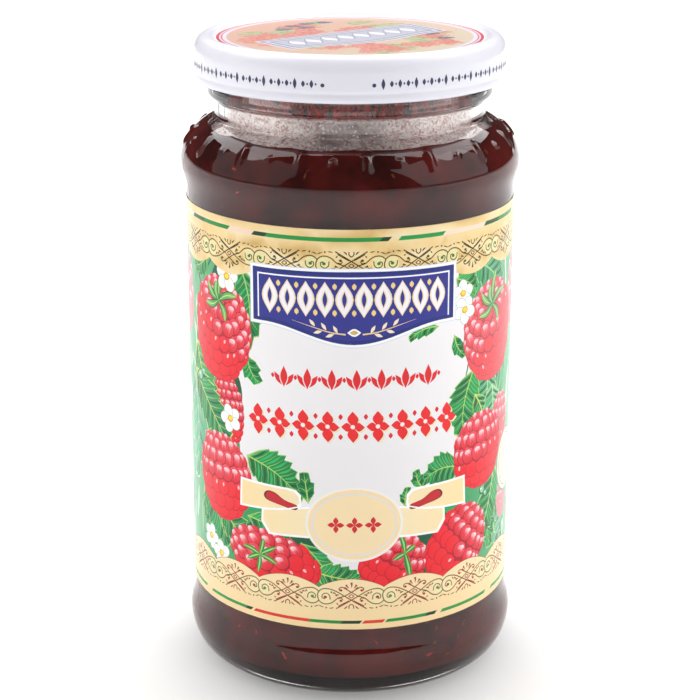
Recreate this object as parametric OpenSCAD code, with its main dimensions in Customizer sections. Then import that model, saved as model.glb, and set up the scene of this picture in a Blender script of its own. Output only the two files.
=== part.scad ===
// A 66 mm twist-off jam jar, full and closed: glass jar, jam, wrap-round paper label and steel lid.
// Millimetres, +Z up. The origin is the centre of the foot, and the label's front faces -Y.

/* [Glass body] */
// Height of the glass from the foot to the sealing rim
glass_h = 143.1; // [130:0.1:175]
// Radius of the straight panel that carries the label
panel_r = 36.85; // [30.5:0.05:44.5]
// How far the base and the shoulder stand out beyond the panel
bulge = 1.2; // [0.6:0.1:2]
// Wall thickness at the panel
wall = 2.4; // [1.8:0.1:3.2]
// Thickness of the bottom over the foot
bottom_t = 4.2; // [3:0.1:6]
// Width of the heel's curve, from the foot out to the base bulge
heel_w = 5.5; // [4:0.1:7]
// Height of the heel's curve
heel_h = 9; // [7:0.1:12]
// Width of the flat ring that the jar stands on
foot_w = 3.5; // [2:0.1:6]
// Height of the push-up in the middle of the bottom
punt_h = 2.2; // [1:0.1:3.5]
// Height over which the base bulge blends into the panel
base_blend_h = 6; // [4:0.1:9]

/* [Shoulder, neck and finish] */
// Height over which the panel blends into the shoulder bulge
shoulder_blend_h = 5.5; // [4:0.1:9]
// Height from the shoulder bulge's widest place to the neck
shoulder_h = 10; // [8:0.1:14]
// How far the shoulder's curve turns before it meets the neck, in degrees
shoulder_sweep = 64; // [50:1:75]
// Outer radius of the neck's groove
neck_r = 29.8; // [24.5:0.05:36]
// Height of the neck's groove
neck_h = 4.4; // [3:0.1:7]
// Wall thickness at the neck
neck_wall = 2.4; // [1.8:0.1:3.2]
// How far the bead under the lid stands out from the neck
bead_out = 2; // [1.2:0.1:2.4]
// Height of the bead
bead_h = 3.4; // [2.6:0.1:5]
// How far the finish above the bead stands out from the neck
finish_out = 1.4; // [0.8:0.1:1.8]
// Height of the finish from the bead to the rim
finish_h = 8.7; // [7:0.1:13]

/* [Shoulder relief] */
// Number of raised ribs round the shoulder, with a round bead between each two
rib_count = 16; // [8:1:18]
// Length of a rib along the slope, without its round ends
rib_len = 3.6; // [1.6:0.1:4.4]
// Radius of a rib's or a bead's cross-section
rib_r = 1.3; // [1:0.1:2]
// How far a rib or a bead stands out from the glass
rib_out = 0.5; // [0.3:0.05:0.7]

/* [Jam] */
// Height of the jam's surface above the foot
jam_level = 122.9; // [60:0.1:130]
// Clearance between the jam and the glass
jam_gap = 0.1; // [0.05:0.05:0.3]

/* [Label] */
// Bare panel left above and below the label
label_margin = 2.35; // [1:0.05:6]
// Thickness of the paper
label_t = 0.13; // [0.08:0.01:0.25]
// Width of the glued overlap at the back
label_lap = 7; // [4:0.5:12]

/* [Lid] */
// Thickness of the lid's steel
lid_t = 0.4; // [0.2:0.05:0.8]
// Gap between the bead and the inside of the skirt, where the lugs run
lid_gap = 2.5; // [1.6:0.1:3.5]
// Height of the raised rim above the sealing plane, sealing ring included
lid_rim_t = 1.4; // [1:0.1:2.2]
// Depth of the centre panel below the raised rim
lid_drop = 0.9; // [0.4:0.1:1.1]
// Width of the raised rim and its round edge, from the centre panel to the skirt
lid_rim_w = 5.6; // [4.5:0.1:7]
// Radius of the lid's round top edge
lid_edge_r = 3.2; // [2:0.1:4]
// Height of the lid's lower edge above the bead's underside
lid_edge_z = 3.6; // [2.6:0.1:5]
// Radius of the curl at the lid's lower edge
curl_r = 0.9; // [0.6:0.05:1.4]

/* [Hidden] */
$fn = 96;
ARC = 8;       // steps in a short round stretch
LONG_ARC = 16; // steps in a long round stretch
edge_r = 0.7;  // soft edges that the glass mould leaves on the bead and the rim

bulge_r = panel_r + bulge;
foot_r = bulge_r - heel_w;
bore_r = panel_r - wall;
mouth_r = neck_r - neck_wall;
bead_r = neck_r + bead_out;
finish_r = neck_r + finish_out;

bead_top_z = glass_h - finish_h;
bead_z = bead_top_z - bead_h;
neck_z = bead_z - neck_h;
shoulder_z = neck_z - shoulder_h;
panel_top_z = shoulder_z - shoulder_blend_h;
panel_z = heel_h + base_blend_h;

shoulder_a = (bulge_r - neck_r) / (1 - cos(shoulder_sweep));
shoulder_b = shoulder_h / sin(shoulder_sweep);
shoulder_r = bulge_r - shoulder_a;
inner_a = bore_r - shoulder_r;
inner_b = shoulder_b - neck_wall;
rib_turn = 360 / rib_count;

label_z = panel_z + label_margin;
label_h = panel_top_z - panel_z - 2 * label_margin;
lid_skirt_r = bead_r + lid_gap + lid_t;
lid_z = bead_z + lid_edge_z;
lid_top_z = glass_h + lid_rim_t;

// A quarter of an ellipse or less, as [r, z] points, from angle a0 to a1.
function ellipse(c, a, b, a0, a1, n = LONG_ARC) =
    [for (i = [0:n]) let (t = a0 + (a1 - a0) * i / n) c + [a * cos(t), b * sin(t)]];

// A smooth S from p to q, vertical at both ends.
function s_curve(p, q, n = ARC) =
    [for (i = [0:n]) let (t = i / n) [p.x + (q.x - p.x) * (1 - cos(180 * t)) / 2, p.y + (q.y - p.y) * t]];

function unit(v) = v / norm(v);

// The corner at b between a and c, rounded with radius rad.
function corner(a, b, c, rad, n = ARC) =
    let (
        u = unit(a - b),
        v = unit(c - b),
        half = acos(u * v) / 2,
        middle = b + unit(u + v) * rad / sin(half),
        from = b + u * rad / tan(half) - middle,
        to = b + v * rad / tan(half) - middle,
        turn = atan2(from.x * to.y - from.y * to.x, from * to),
        start = atan2(from.y, from.x)
    )
    [for (i = [0:n]) middle + rad * [cos(start + turn * i / n), sin(start + turn * i / n)]];

// A path of [r, z, rounding] points with its corners rounded. Points with no third value stay sharp.
function rounded(path) = [
    for (i = [0:len(path) - 1])
        each (len(path[i]) < 3 ? [path[i]]
            : corner(flat(path[i - 1]), flat(path[i]), flat(path[i + 1]), path[i][2]))
];
function flat(p) = [p.x, p.y];

// The shoulder follows part of an ellipse about [shoulder_r, shoulder_z], outside and inside.
function shoulder_point(a, b, turn) = [shoulder_r + a * cos(turn), shoulder_z + b * sin(turn)];
function shoulder_curve(a, b, sweep) = [for (i = [0:LONG_ARC]) shoulder_point(a, b, sweep * i / LONG_ARC)];

// The angle at which the inner curve, drawn in by a clearance, reaches the neck's bore.
function inner_sweep(gap) = acos((mouth_r - gap - shoulder_r) / (inner_a - gap));

// The inside of the jar's bottom, from the centre out to the wall, drawn in by a clearance.
function inner_floor(gap) =
    let (r = bore_r - gap, z = bottom_t + gap)
    rounded([[0, z + punt_h], [r / 2, z + punt_h, r / 4], [r - 2 * wall, z, wall],
        [r, z + 2 * wall, 2 * wall], [r, panel_z]]);

module ring(outline) {
    rotate_extrude() polygon(outline);
}

// The bare glass: one closed outline, up the outside and down the inside.
module glass_blank() {
    outside = concat(
        ellipse([0, 0], foot_r - foot_w, punt_h, 90, 0),
        ellipse([foot_r, heel_h], heel_w, heel_h, -90, 0),
        s_curve([bulge_r, heel_h], [panel_r, panel_z]),
        s_curve([panel_r, panel_top_z], [bulge_r, shoulder_z]),
        rounded(concat(
            shoulder_curve(shoulder_a, shoulder_b, shoulder_sweep),
            [[neck_r, neck_z + edge_r], [neck_r, bead_z, edge_r], [bead_r, bead_z + edge_r, edge_r],
                [bead_r, bead_top_z, edge_r / 2], [finish_r, bead_top_z + edge_r / 2, edge_r / 2],
                [finish_r, glass_h, edge_r], [mouth_r, glass_h, edge_r], [mouth_r, bead_z]]
        ))
    );
    inside = concat(inner_floor(0), shoulder_curve(inner_a, inner_b, inner_sweep(0)));
    ring(concat(outside, [for (i = [len(inside) - 1:-1:0]) inside[i]]));
}

// One round-ended rib lying along the middle of the shoulder's slope, or a bead if its length is 0.
module rib(length) {
    turn = shoulder_sweep / 2;
    middle = shoulder_point(shoulder_a, shoulder_b, turn);
    lean = atan2(shoulder_a * sin(turn), shoulder_b * cos(turn));
    translate([middle.x, 0, middle.y])
        rotate([0, -lean, 0])
            translate([rib_out - rib_r, 0, -length / 2]) {
                if (length > 0) cylinder(r = rib_r, h = length);
                sphere(r = rib_r);
                if (length > 0) translate([0, 0, length]) sphere(r = rib_r);
            }
}

// The moulded glass jar with its ring of ribs and beads round the shoulder.
module jar_glass() {
    color("lightcyan", 0.4) union() {
        glass_blank();
        difference() {
            for (i = [0:rib_count - 1]) {
                rotate(rib_turn * (i + 0.25)) rib(rib_len);
                rotate(rib_turn * (i + 0.75)) rib(0);
            }
            jam_body(0, neck_z);
        }
    }
}

// What fills the jar up to a level, drawn in from the glass by a clearance.
module jam_body(gap, level) {
    curve = shoulder_curve(inner_a - gap, inner_b - gap, inner_sweep(gap));
    neck_start = curve[len(curve) - 1];
    turn = asin(min(1, max(0, level - shoulder_z) / (inner_b - gap)));
    level_r = level >= neck_start.y ? neck_start.x : shoulder_point(inner_a - gap, inner_b - gap, turn).x;
    ring(concat(inner_floor(gap), [for (p = curve) if (p.y < level) p], [[level_r, level], [0, level]]));
}

// The jam, up to its level.
module jam() {
    color("maroon") jam_body(jam_gap, jam_level);
}

// The paper label, wrapped once round the panel, with its glued overlap at the back.
module label() {
    lap_angle = label_lap / panel_r * 180 / PI;
    color("wheat") translate([0, 0, label_z]) {
        difference() {
            cylinder(r = panel_r + label_t, h = label_h);
            translate([0, 0, -1]) cylinder(r = panel_r, h = label_h + 2);
        }
        rotate(90 - lap_angle / 2)
            rotate_extrude(angle = lap_angle)
                translate([panel_r + label_t / 2, 0]) square([label_t * 1.5, label_h]);
    }
}

// The lacquered steel lid: sunk centre panel, raised rim over the seal, skirt and lower curl.
module lid() {
    rim_in_r = lid_skirt_r - lid_rim_w;
    inner_r = lid_skirt_r - lid_t;
    curl_in_r = lid_skirt_r - 2 * curl_r;
    curl_top_z = lid_z + 2 * curl_r;
    color("white") ring(rounded([
        [0, lid_top_z - lid_drop],
        [rim_in_r - lid_drop, lid_top_z - lid_drop, lid_t],
        [rim_in_r, lid_top_z, lid_t],
        [lid_skirt_r, lid_top_z, lid_edge_r],
        [lid_skirt_r, lid_z, curl_r * 0.9],
        [curl_in_r, lid_z, curl_r * 0.9],
        [curl_in_r, curl_top_z, curl_r / 2],
        [inner_r, curl_top_z + curl_r / 2, curl_r / 4],
        [inner_r, glass_h, lid_edge_r / 2],
        [0, glass_h]
    ]));
}

jar_glass();
jam();
label();
lid();
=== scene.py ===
import math
import random

import bpy
import numpy as np
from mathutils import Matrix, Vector, noise
from mathutils.geometry import delaunay_2d_cdt


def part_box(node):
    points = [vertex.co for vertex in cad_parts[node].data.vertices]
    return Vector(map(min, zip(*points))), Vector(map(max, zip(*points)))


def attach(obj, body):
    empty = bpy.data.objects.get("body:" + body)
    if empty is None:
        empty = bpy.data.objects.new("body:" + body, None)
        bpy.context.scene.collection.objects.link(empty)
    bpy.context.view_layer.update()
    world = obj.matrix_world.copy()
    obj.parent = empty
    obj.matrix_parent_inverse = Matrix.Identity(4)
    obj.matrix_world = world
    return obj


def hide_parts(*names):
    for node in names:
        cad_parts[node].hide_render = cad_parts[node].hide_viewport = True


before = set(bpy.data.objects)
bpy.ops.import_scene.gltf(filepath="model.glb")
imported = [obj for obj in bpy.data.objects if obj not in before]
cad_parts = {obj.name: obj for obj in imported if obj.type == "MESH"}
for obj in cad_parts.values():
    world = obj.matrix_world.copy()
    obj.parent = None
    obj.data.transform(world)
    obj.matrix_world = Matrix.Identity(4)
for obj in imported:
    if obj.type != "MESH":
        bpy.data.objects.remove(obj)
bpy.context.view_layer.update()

# ---------------------------------------------------------------------------------------------
# The glass jar. Clear soda-lime glass, blown in a two-part mould: a round heel, a panel sunk
# between two bulges for the label, a shoulder with moulded ribs, and a neck with its finish.
# ---------------------------------------------------------------------------------------------


def srgb(code):
    """A hex colour as the linear colour that a shader takes."""
    parts = [int(code[i:i + 2], 16) / 255 for i in (1, 3, 5)]
    return tuple(c / 12.92 if c <= 0.04045 else ((c + 0.055) / 1.055) ** 2.4 for c in parts)


def new_material(name):
    """An empty node material."""
    made = bpy.data.materials.new(name)
    made.use_nodes = True
    made.node_tree.nodes.clear()
    return made


def add_node(material, kind, inputs=None, **settings):
    """Adds a node with its settings. An input is a value, or another node's socket to link from."""
    tree = material.node_tree
    made = tree.nodes.new("ShaderNode" + kind)
    for name, value in settings.items():
        setattr(made, name, value)
    for name, value in (inputs or {}).items():
        socket = made.inputs[name]
        if isinstance(value, bpy.types.NodeSocket):
            tree.links.new(value, socket)
        elif isinstance(value, tuple) and socket.type == "RGBA":
            socket.default_value = (*value[:3], 1)
        else:
            socket.default_value = value
    return made


def ellipse(centre, across, up, start, end, steps=24):
    """Points along part of an ellipse, from one angle to another in degrees."""
    turns = np.radians(np.linspace(start, end, steps + 1))
    return [(centre[0] + across * math.cos(t), centre[1] + up * math.sin(t)) for t in turns]


def s_curve(start, end, steps=16):
    """A smooth S from one [radius, height] to another, vertical at both ends."""
    (r0, z0), (r1, z1) = start, end
    return [(r0 + (r1 - r0) * (1 - math.cos(math.pi * i / steps)) / 2, z0 + (z1 - z0) * i / steps)
            for i in range(steps + 1)]


def even(outline, step):
    """The same outline with its points at an even spacing."""
    points = np.array(outline, float)
    along = np.concatenate([[0], np.cumsum(np.hypot(*np.diff(points, axis=0).T))])
    places = np.linspace(0, along[-1], max(2, round(along[-1] / step)))
    return np.column_stack([np.interp(places, along, points[:, i]) for i in (0, 1)])


def softened(outline, passes):
    """Rounds the corners of an evenly spaced outline, and keeps its two ends."""
    points = np.array(outline, float)
    for _ in range(passes):
        points[1:-1] = points[1:-1] / 2 + (points[:-2] + points[2:]) / 4
    return points


def add_mesh(name, points, faces, materials):
    """A smooth-shaded piece from points in millimetres."""
    mesh = bpy.data.meshes.new(name)
    mesh.from_pydata((np.asarray(points, float) / 1000).tolist(), [], faces)
    for material in materials:
        mesh.materials.append(material)
    mesh.shade_smooth()
    piece = bpy.data.objects.new(name, mesh)
    bpy.context.scene.collection.objects.link(piece)
    return piece


def turned(outline, segments, shift=None):
    """Points and faces of an outline in millimetres turned about +Z. shift may move its points."""
    outline = np.asarray(outline, float)
    turns = np.linspace(0, 2 * math.pi, segments, endpoint=False)
    r, z = (np.repeat(outline[:, i:i + 1], segments, axis=1) for i in (0, 1))
    azimuth = np.repeat(turns[None], len(outline), axis=0)
    if shift:
        r, z = shift(r, z, azimuth)
    grid = np.stack([r * np.cos(azimuth), r * np.sin(azimuth), z], axis=-1)
    points, rings = [], []
    for ring, radius in zip(grid, outline[:, 0]):
        if radius < 1e-6:
            rings.append([len(points)] * segments)
            points.append([0, 0, ring[:, 2].mean()])
        else:
            rings.append(list(range(len(points), len(points) + segments)))
            points.extend(ring.tolist())
    faces = []
    for low, high in zip(rings, rings[1:]):
        for i in range(segments):
            j = (i + 1) % segments
            corners = [low[i], low[j], high[j], high[i]]
            faces.append(list(dict.fromkeys(corners)))
    return points, faces


millimetres = 1000
glass_low, glass_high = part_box("jar_glass")
label_low, label_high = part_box("label")
rim_z = glass_high.z * millimetres
bulge_r = (glass_high.x - glass_low.x) / 2 * millimetres
paper_t = 0.13
panel_r = -label_low.x * millimetres - paper_t
wall = 2.4
heel_w, heel_h, foot_w, punt_h = 5.5, 9.0, 3.5, 2.2
floor_t = 4.2
base_blend_h = 6.0
panel_low_z, panel_high_z = heel_h + base_blend_h, rim_z - 32.0
# The shoulder's widest place, the neck's foot, and the bead's foot and top, below the rim.
shoulder_z, neck_z, bead_z, bead_top_z = (rim_z - drop for drop in (26.5, 16.5, 12.1, 8.7))
neck_r, bead_r, finish_r = 29.8, 31.8, 31.2
bore_r, mouth_r = panel_r - wall, neck_r - wall
foot_r = bulge_r - heel_w
shoulder_sweep = 64
shoulder_a = (bulge_r - neck_r) / (1 - math.cos(math.radians(shoulder_sweep)))
shoulder_b = (neck_z - shoulder_z) / math.sin(math.radians(shoulder_sweep))
shoulder_r = bulge_r - shoulder_a
inner_a, inner_b = bore_r - shoulder_r, shoulder_b - wall
inner_sweep = math.degrees(math.acos((mouth_r - shoulder_r) / inner_a))


def bore_outline():
    """The inside of the glass from the centre of its floor up to the shoulder's end."""
    top = floor_t + punt_h
    floor_line = [(0, top), (bore_r * 0.55, top - 0.2), (bore_r - 2 * wall, floor_t)]
    heel = ellipse((bore_r - 2.2 * wall, floor_t + 2.2 * wall), 2.2 * wall, 2.2 * wall, -90, 0)
    shoulder = ellipse((shoulder_r, shoulder_z), inner_a, inner_b, 0, inner_sweep)
    return [*floor_line, *heel, (bore_r, panel_low_z), *shoulder]


neck_seam_z = neck_z + 2.3
outside = [
    *ellipse((0, 0), foot_r - foot_w, punt_h, 90, 0),
    *ellipse((foot_r, heel_h), heel_w, heel_h, -90, 0),
    *s_curve((bulge_r, heel_h), (panel_r, panel_low_z)),
    *s_curve((panel_r, panel_high_z), (bulge_r, shoulder_z)),
    *ellipse((shoulder_r, shoulder_z), shoulder_a, shoulder_b, 0, shoulder_sweep),
    (neck_r, neck_z + 0.8), (neck_r, neck_seam_z - 0.3), (neck_r + 0.3, neck_seam_z),
    (neck_r + 0.1, neck_seam_z + 0.3), (neck_r, bead_z - 0.4), (bead_r, bead_z + 0.4),
    (bead_r, bead_top_z - 0.3), (finish_r, bead_top_z + 0.2), (finish_r, rim_z - 0.5),
    (finish_r - 0.5, rim_z), (mouth_r + 0.5, rim_z),
]
inside = [(mouth_r, rim_z - 0.5), *reversed(bore_outline())]


def thinned(outline, fine):
    """Drops points where the wall is plain: the panel, the bore and the underside."""
    kept, last = [outline[0]], outline[0]
    for point in outline[1:-1]:
        z = point[1]
        step = fine if z > shoulder_z - 1 else 7.0 if panel_low_z + 1 < z < panel_high_z - 1 else 1.6
        if math.hypot(*(point - last)) >= step - 0.05:
            kept.append(point)
            last = point
    return np.array([*kept, outline[-1]])


outer_outline = thinned(softened(even(outside, 0.25), 8), 0.5)
glass_outline = np.concatenate([outer_outline, thinned(softened(even(inside, 0.6), 3), 1.1)])

rib_count, rib_len, rib_r, rib_out = 16, 3.6, 1.3, 0.5
seam_out, seam_half, seam_turn = 0.12, 0.35, 75
middle_turn = math.radians(shoulder_sweep / 2)
middle_r = shoulder_r + shoulder_a * math.cos(middle_turn)
middle_z = shoulder_z + shoulder_b * math.sin(middle_turn)
slope = math.hypot(shoulder_a * math.sin(middle_turn), shoulder_b * math.cos(middle_turn))
slope_r, slope_z = (-shoulder_a * math.sin(middle_turn) / slope,
                    shoulder_b * math.cos(middle_turn) / slope)
outer_rings = len(outer_outline)


def moulded(r, z, azimuth):
    """Raises the shoulder's ribs and beads and the two mould seams, and waves the walls a little."""
    outer = np.arange(len(r))[:, None] < outer_rings
    along = (r - middle_r) * slope_r + (z - middle_z) * slope_z
    pitch = 2 * math.pi / rib_count
    lift = np.zeros_like(r)
    for place, length in ((0.25, rib_len), (0.75, 0.0)):
        aside = (azimuth / pitch - place + 0.5) % 1 - 0.5
        aside = np.abs(aside) * pitch * middle_r
        away = np.hypot(np.maximum(np.abs(along) - length / 2, 0), aside)
        lift += np.maximum(np.sqrt(rib_r ** 2 - np.minimum(away, rib_r) ** 2) - rib_r + rib_out, 0)
    on_shoulder = outer & (z > shoulder_z - 1) & (z < neck_z + 0.5)
    r = r + np.where(on_shoulder, lift * slope_z, 0)
    z = z - np.where(on_shoulder, lift * slope_r, 0)
    seam = np.minimum(np.abs(((azimuth + math.radians(seam_turn)) % math.pi) - math.pi / 2) * r, seam_half)
    on_seam = outer & (z > heel_h) & (z < bead_z - 0.5)
    r = r + np.where(on_seam, seam_out * (0.5 + 0.5 * np.cos(math.pi * seam / seam_half)), 0)
    wave = 0.035 * np.sin(2 * azimuth + 0.05 * z) + 0.02 * np.sin(5 * azimuth - 0.21 * z + 1)
    return np.where(r > 5, r - np.where(outer, 0.3, 1.0) * np.abs(wave), r), z


# Clear soda-lime glass, fire-polished as it leaves the mould: a hard bright gloss, strong bending of
# what is behind, and hardly any colour. Lamps shine straight through, so what is inside stays lit.
clear_glass = new_material("soda_lime_glass_moulded")
shell = add_node(clear_glass, "BsdfPrincipled", {
    "Base Color": srgb("#FAFBFA"), "Roughness": 0.0, "IOR": 1.5, "Transmission Weight": 1.0})
let_through = add_node(clear_glass, "BsdfTransparent", {"Color": srgb("#F7F8F7")})
light_path = add_node(clear_glass, "LightPath")
lamp_or_bounce = add_node(clear_glass, "Math", {
    0: light_path.outputs["Is Shadow Ray"], 1: light_path.outputs["Is Diffuse Ray"]},
    operation="MAXIMUM")
glass_mix = add_node(clear_glass, "MixShader", {
    0: lamp_or_bounce.outputs[0], 1: shell.outputs[0], 2: let_through.outputs[0]})
add_node(clear_glass, "OutputMaterial", {"Surface": glass_mix.outputs[0]})

glass_segments = 512
jar = add_mesh("jar_glass_moulded", *turned(glass_outline, glass_segments, moulded), [clear_glass])
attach(jar, "root")
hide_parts("jar_glass")

# ---------------------------------------------------------------------------------------------
# The jam. Dark red cooked berries in syrup, poured hot, so it wets the wall everywhere and stands
# a little higher against the glass. It reaches just into the wall, so no air shows between them.
# ---------------------------------------------------------------------------------------------

_, jam_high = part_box("jam")
jam_level = jam_high.z * millimetres
into_wall = 0.15
level_sweep = math.degrees(math.asin((jam_level - shoulder_z) / inner_b))
level_r = shoulder_r + inner_a * math.cos(math.radians(level_sweep))
jam_side = [p for p in bore_outline() if p[1] < jam_level - 0.3]
jam_side = even([*jam_side, (level_r, jam_level)], 0.8)
jam_side[1:, 0] += into_wall
jam_side[:, 1] -= into_wall * (jam_side[:, 1] < floor_t + 2 * wall)
jam_top = even([(level_r + into_wall, jam_level + 0.5), (level_r - 0.9, jam_level - 0.1),
                (0, jam_level - 0.3)], 0.6)
jam_rings = len(jam_side)


def poured(r, z, azimuth):
    """Lumps of fruit in the surface, and an uneven edge where it meets the glass."""
    lump_size, lump_height, edge_rings = 7, 0.55, 4
    for i in range(jam_rings - 3, len(r)):
        for j in range(r.shape[1]):
            x, y = r[i, j] * math.cos(azimuth[i, j]), r[i, j] * math.sin(azimuth[i, j])
            bump = noise.fractal(Vector((x, y, 3)) / lump_size, 0.8, 2.2, 3)
            fade = min(1, (i - jam_rings + edge_rings) / edge_rings)
            z[i, j] += lump_height * fade * bump
    return r, z


# Cooked berries in syrup against glass: near black where it's deep, dull red in clumps of about
# 11 mm where light gets in. The syrup wets the wall, so it has no gloss of its own there.
jam_red = new_material("cooked_berry_jam")
coords = add_node(jam_red, "TexCoord")
clouds = add_node(jam_red, "TexNoise", {
    "Vector": coords.outputs["Object"], "Scale": 90.0, "Detail": 4.0, "Roughness": 0.6})
body = add_node(jam_red, "ValToRGB", {0: clouds.outputs[0]})
body.color_ramp.elements[0].position, body.color_ramp.elements[0].color = 0.35, (*srgb("#331210"), 1)
body.color_ramp.elements[1].position, body.color_ramp.elements[1].color = 0.7, (*srgb("#601D1A"), 1)
jam_bsdf = add_node(jam_red, "BsdfPrincipled", {
    "Base Color": body.outputs[0], "Roughness": 0.35, "IOR": 1.4, "Specular IOR Level": 0.0,
    "Subsurface Weight": 0.15, "Subsurface Radius": Vector((0.003, 0.0006, 0.0004)),
    "Subsurface Scale": 1.0})
add_node(jam_red, "OutputMaterial", {"Surface": jam_bsdf.outputs[0]})

jam_points, jam_faces = turned(np.concatenate([jam_side, jam_top]), 192, poured)
# The open surface of the jam: wet syrup over pulp of 4 mm grain, so glossy and uneven.
jam_gloss = new_material("cooked_berry_jam_surface")
gloss_place = add_node(jam_gloss, "TexCoord")
pulp = add_node(jam_gloss, "TexNoise", {
    "Vector": gloss_place.outputs["Object"], "Scale": 260.0, "Detail": 5.0, "Roughness": 0.6})
pulp_tone = add_node(jam_gloss, "Mix", {
    0: pulp.outputs[0], 6: srgb("#2A0605"), 7: srgb("#7A1A12")}, data_type="RGBA")
pulp_bump = add_node(jam_gloss, "Bump", {
    "Height": pulp.outputs[0], "Strength": 0.4, "Distance": 0.0006})
gloss_bsdf = add_node(jam_gloss, "BsdfPrincipled", {
    "Base Color": pulp_tone.outputs[2], "Roughness": 0.12, "IOR": 1.42,
    "Normal": pulp_bump.outputs[0]})
add_node(jam_gloss, "OutputMaterial", {"Surface": gloss_bsdf.outputs[0]})
jam = add_mesh("jam_fill", jam_points, jam_faces, [jam_red, jam_gloss])
for polygon in jam.data.polygons:
    x, y, z = polygon.center * millimetres
    on_top = z > jam_level - 1.5 and math.hypot(x, y) < level_r - 0.6
    polygon.material_index = int(on_top)
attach(jam, "root")
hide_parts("jam")

# Seeds and shreds of fruit that lie against the glass, where they show.
seed_points, seed_faces, shred_points, shred_faces = [], [], [], []
seed_dice = random.Random(11)
side_line = even([p for p in jam_side if p[1] > floor_t + 1.5], 0.4)


def add_lump(points, faces, centre, axes, sizes):
    """An egg with its own three axes: 8 round and 5 from end to end."""
    first = len(points)
    for i in range(1, 5):
        for j in range(8):
            up, around = math.pi * i / 5, 2 * math.pi * j / 8
            spot = (math.cos(up), math.sin(up) * math.cos(around), math.sin(up) * math.sin(around))
            points.append(centre + sum(axis * size * part for axis, size, part in zip(axes, sizes, spot)))
    for i in range(3):
        for j in range(8):
            k, row = (j + 1) % 8, first + 8 * i
            faces.append((row + j, row + 8 + j, row + 8 + k, row + k))
    faces.append(tuple(first + j for j in range(8)))
    faces.append(tuple(first + 24 + j for j in reversed(range(8))))


lump_count, shred_every = 620, 5
for i in range(lump_count):
    place = seed_dice.randrange(1, len(side_line) - 2)
    azimuth = seed_dice.uniform(0, 2 * math.pi)
    r0, z0 = side_line[place]
    way = side_line[place + 1] - side_line[place - 1]
    way = way / np.hypot(*way)
    outward_way = np.array([way[1] * math.cos(azimuth), way[1] * math.sin(azimuth), -way[0]])
    along = np.array([way[0] * math.cos(azimuth), way[0] * math.sin(azimuth), way[1]])
    aside = np.cross(outward_way, along)
    turn = seed_dice.uniform(0, math.pi)
    long_way = along * math.cos(turn) + aside * math.sin(turn)
    third = np.cross(outward_way, long_way)
    spot = np.array([r0 * math.cos(azimuth), r0 * math.sin(azimuth), z0])
    if i % shred_every:
        add_lump(seed_points, seed_faces, spot - outward_way * 0.32,
                 (long_way, third, outward_way), (0.95, 0.55, 0.4))
    else:
        size = seed_dice.uniform(0.8, 2.0)
        add_lump(shred_points, shred_faces, spot - outward_way * 0.36,
                 (long_way, third, outward_way), (size, size * 0.55, 0.42))
# Seeds are woody and brown, and shreds are clear red flesh. Both are mottled by cells under a
# millimetre across, and dulled by the syrup on them.
for name, points, faces, dark_code, code, rough in (
        ("berry_seeds", seed_points, seed_faces, "#3A120A", "#8A4A26", 0.5),
        ("berry_shreds", shred_points, shred_faces, "#5A0E0A", "#C8301A", 0.4)):
    flesh = new_material(name.replace("berry", "cooked_berry"))
    flesh_place = add_node(flesh, "TexCoord")
    flesh_cells = add_node(flesh, "TexNoise", {
        "Vector": flesh_place.outputs["Object"], "Scale": 1200.0, "Detail": 3.0})
    flesh_tone = add_node(flesh, "Mix", {
        0: flesh_cells.outputs[0], 6: srgb(dark_code), 7: srgb(code)}, data_type="RGBA")
    flesh_bsdf = add_node(flesh, "BsdfPrincipled", {
        "Base Color": flesh_tone.outputs[2], "Roughness": rough, "Specular IOR Level": 0.0})
    add_node(flesh, "OutputMaterial", {"Surface": flesh_bsdf.outputs[0]})
    sunk = add_mesh(name, points, faces, [flesh])
    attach(sunk, "root")

# ---------------------------------------------------------------------------------------------
# The label. One sheet of coated paper, wrapped round the panel and glued, with its right end
# lapped over the left one at the back. It's printed with a fruit picture, gold bands and a plaque.
# ---------------------------------------------------------------------------------------------

paper_r = panel_r + paper_t
lap, lap_lift, paste_t = 7.0, 0.13, 0.02
sheet_half = math.pi * paper_r + lap / 2
sheet_low, sheet_high = label_low.z * millimetres, label_high.z * millimetres
dice = random.Random(7)


def rotated(points, degrees, centre=(0, 0), size=(1, 1)):
    """Points scaled and turned about (0, 0), then moved to a centre."""
    c, s = math.cos(math.radians(degrees)), math.sin(math.radians(degrees))
    points = np.asarray(points, float) * size
    return points @ np.array([[c, s], [-s, c]]) + centre


def spline(points, closed=False, steps=5):
    """A smooth curve through the points."""
    points = np.asarray(points, float)
    if closed:
        padded = np.concatenate([points[-1:], points, points[:2]])
    else:
        padded = np.concatenate([2 * points[:1] - points[1:2], points, 2 * points[-1:] - points[-2:-1]])
    t = np.linspace(0, 1, steps, endpoint=False)[:, None]
    made = []
    for a, b, c, d in zip(padded, padded[1:], padded[2:], padded[3:]):
        made.append(((2 * b) + (c - a) * t + (2 * a - 5 * b + 4 * c - d) * t ** 2
                     + (3 * b - a - 3 * c + d) * t ** 3) / 2)
    if not closed:
        made.append(points[-1:])
    return np.concatenate(made)


def oval(centre, across, up, turn=0, count=14):
    """An ellipse, by its half width and half height."""
    turns = np.linspace(0, 2 * math.pi, count, endpoint=False)
    return rotated(np.column_stack([np.cos(turns), np.sin(turns)]), turn, centre, (across, up))


def pointed(centre, across, up, turn=0, steps=6):
    """A pointed oval, like a petal."""
    t = np.linspace(0, 1, steps, endpoint=False)
    right = np.column_stack([np.sin(math.pi * t) ** 1.2, 2 * t - 1])
    return rotated(np.concatenate([right, -right]), turn, centre, (across, up))


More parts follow.
